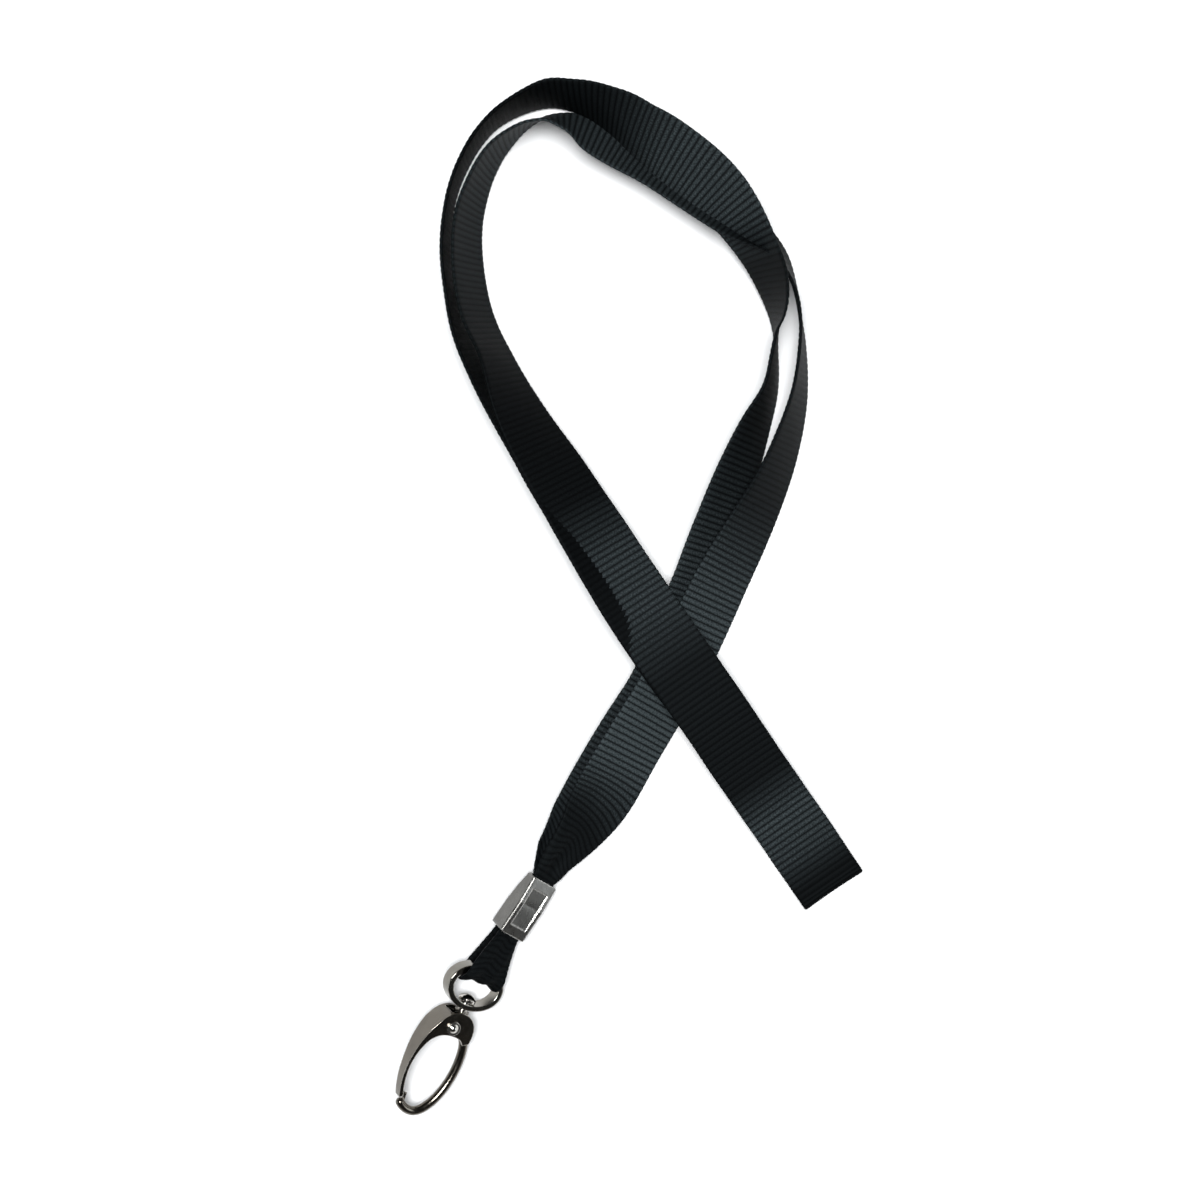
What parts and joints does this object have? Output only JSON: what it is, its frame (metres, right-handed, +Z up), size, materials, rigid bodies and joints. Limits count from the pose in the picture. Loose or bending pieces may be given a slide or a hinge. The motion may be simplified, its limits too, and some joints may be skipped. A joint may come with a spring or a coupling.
{
  "type": "neck lanyard",
  "caption": "Doubled woven ribbon neck strap clamped in a metal crimp, whose short end loop carries a swivel eye and an oval snap hook with a spring gate.",
  "frame": {"origin": "middle of the lanyard's footprint on the table it lies on", "axes": "+Z up from the table, +Y from the hook towards the top of the neck loop, +X towards the neck fold's side"},
  "size_m": [0.1074, 0.2332, 0.0193],
  "materials": {
    "ribbon": "matt ribbed weave",
    "crimp_metal": "bright plated",
    "hook_metal": "polished dark nickel",
    "rivet_metal": "polished",
    "spring_steel": "plain wire"
  },
  "bodies": {
    "strap": {"ribbon_front_run": "ribbon", "ribbon_back_run": "ribbon", "ribbon_end_loop": "ribbon", "crimp": "crimp_metal"},
    "eye": {"swivel_eye": "hook_metal"},
    "hook": {"swivel_stem": "rivet_metal", "hook_body": "hook_metal", "gate_rivet": "rivet_metal", "gate_spring": "spring_steel"},
    "gate": {"gate_lever": "hook_metal"}
  },
  "joints": [
    {"name": "eye_swing", "type": "hinge", "parent": "strap", "child": "eye", "pos_m": [-0.03372, -0.08285, 0.00548], "axis": [0.7862, -0.3633, -0.5], "range_deg": [-60, 60]},
    {"name": "hook_swivel", "type": "hinge", "parent": "eye", "child": "hook", "pos_m": [-0.03575, -0.08725, 0.00548], "axis": [0.4195, 0.9078, 0], "continuous": true},
    {"name": "gate_pivot", "type": "hinge", "parent": "hook", "child": "gate", "pos_m": [-0.04147, -0.09551, 0.00648], "axis": [-0.4539, 0.2097, -0.866], "range_deg": [0, 17], "stiffness_Nm_per_rad": 0.1, "springref_deg": -11.46}
  ]
}
